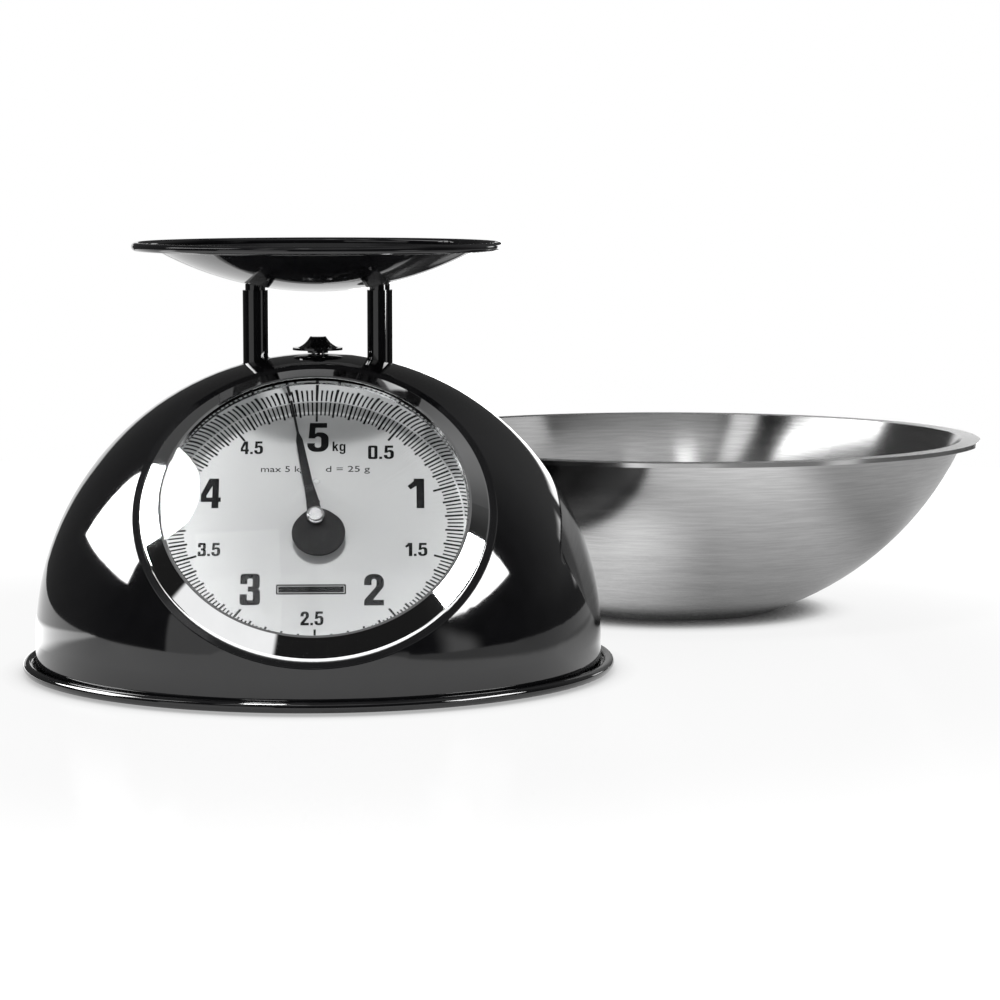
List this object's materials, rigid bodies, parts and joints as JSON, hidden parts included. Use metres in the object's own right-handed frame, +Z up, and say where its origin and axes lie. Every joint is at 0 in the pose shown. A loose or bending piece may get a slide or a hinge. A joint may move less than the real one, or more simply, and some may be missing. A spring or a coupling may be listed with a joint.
{
  "type": "kitchen scale",
  "caption": "Mechanical kitchen scale with a black domed housing, sloping round dial in a chrome bezel, raised tray on two posts, zero knob and a separate steel bowl.",
  "frame": {"origin": "on the table, under the middle of the dome", "axes": "+Z up; the dial faces -Y; +X to the right of someone reading the dial"},
  "size_m": [0.3565, 0.3664, 0.1472],
  "materials": {
    "gloss_black_enamel": "gloss enamel on pressed steel",
    "black_knob": "moulded, glossy",
    "chrome": "polished",
    "clear_lens": "clear, polished",
    "dial_silver": "satin silver, printed",
    "pointer_grey": "satin dark paint",
    "bright_steel": "bright machined steel",
    "brushed_stainless": "spun, brushed round the axis",
    "black_rubber": "matt rubber",
    "movement_brass": "plain brass",
    "zinc_plated_sheet": "zinc plated pressed sheet",
    "spring_steel": "drawn spring wire"
  },
  "bodies": {
    "housing": {"dome_shell": "gloss_black_enamel", "shell_lugs": "zinc_plated_sheet", "base_plate": "zinc_plated_sheet", "rubber_feet": "black_rubber", "base_screws": "bright_steel", "chassis_screws": "bright_steel", "bezel_ring": "chrome", "dial_lens": "clear_lens", "dial_plate": "dial_silver", "dial_pillars": "movement_brass", "movement_plate_front": "movement_brass", "movement_plate_rear": "movement_brass", "movement_pillars": "movement_brass", "movement_screws": "bright_steel", "shaft_bushes": "movement_brass", "chassis": "zinc_plated_sheet", "upper_pivot_pin": "bright_steel", "lower_pivot_pin": "bright_steel"},
    "tray_carrier": {"tray": "gloss_black_enamel", "tray_studs": "bright_steel", "left_post": "gloss_black_enamel", "right_post": "gloss_black_enamel", "carrier_frame": "zinc_plated_sheet", "stud_nuts": "bright_steel", "carrier_pins": "bright_steel", "spring_pin": "bright_steel", "rack": "bright_steel", "rack_screws": "bright_steel"},
    "upper_lever": {"upper_lever": "zinc_plated_sheet"},
    "lower_lever": {"lower_lever": "zinc_plated_sheet"},
    "pointer_arbor": {"pinion": "movement_brass", "pointer_shaft": "bright_steel", "pointer": "pointer_grey", "pointer_boss": "bright_steel"},
    "zero_adjuster": {"zero_knob": "black_knob", "zero_screw": "bright_steel"},
    "hanger": {"spring_hanger": "zinc_plated_sheet", "main_spring": "spring_steel"},
    "bowl": {"bowl": "brushed_stainless"}
  },
  "joints": [
    {"name": "tray_slide", "type": "slide", "parent": "housing", "child": "tray_carrier", "axis": [0, 0, -1], "range_m": [0, 0.01303], "stiffness_N_per_m": 3765, "springref_m": -0.004, "deforming": ["main_spring"]},
    {"name": "upper_lever_pivot", "type": "hinge", "parent": "housing", "child": "upper_lever", "pos_m": [0, 0.046, 0.066], "axis": [1, 0, 0], "range_deg": [0, 19.69]},
    {"name": "lower_lever_pivot", "type": "hinge", "parent": "housing", "child": "lower_lever", "pos_m": [0, 0.046, 0.04], "axis": [1, 0, 0], "range_deg": [0, 19.69]},
    {"name": "pointer_turn", "type": "hinge", "parent": "housing", "child": "pointer_arbor", "pos_m": [0, -0.05556, 0.0573], "axis": [0, 0.7716, -0.6361], "range_deg": [0, 360.5]},
    {"name": "zero_knob_turn", "type": "hinge", "parent": "housing", "child": "zero_adjuster", "pos_m": [0, 0, 0.11], "axis": [0, 0, 1], "range_deg": [-720, 720]},
    {"name": "hanger_climb", "type": "slide", "parent": "housing", "child": "hanger", "axis": [0, 0, 1], "range_m": [-0.00141, 0.00141]},
    {"name": "bowl_lift", "type": "slide", "parent": "housing", "child": "bowl", "axis": [0, 0, 1], "range_m": [0, 0.15]}
  ],
  "couplings": [
    {"joint": "pointer_turn", "follows": "tray_slide", "rad_per_m": 482.27},
    {"joint": "upper_lever_pivot", "follows": "tray_slide", "rad_per_m": 26.316},
    {"joint": "lower_lever_pivot", "follows": "tray_slide", "rad_per_m": 26.316},
    {"joint": "hanger_climb", "follows": "zero_knob_turn", "m_per_rad": 0.00011141}
  ]
}
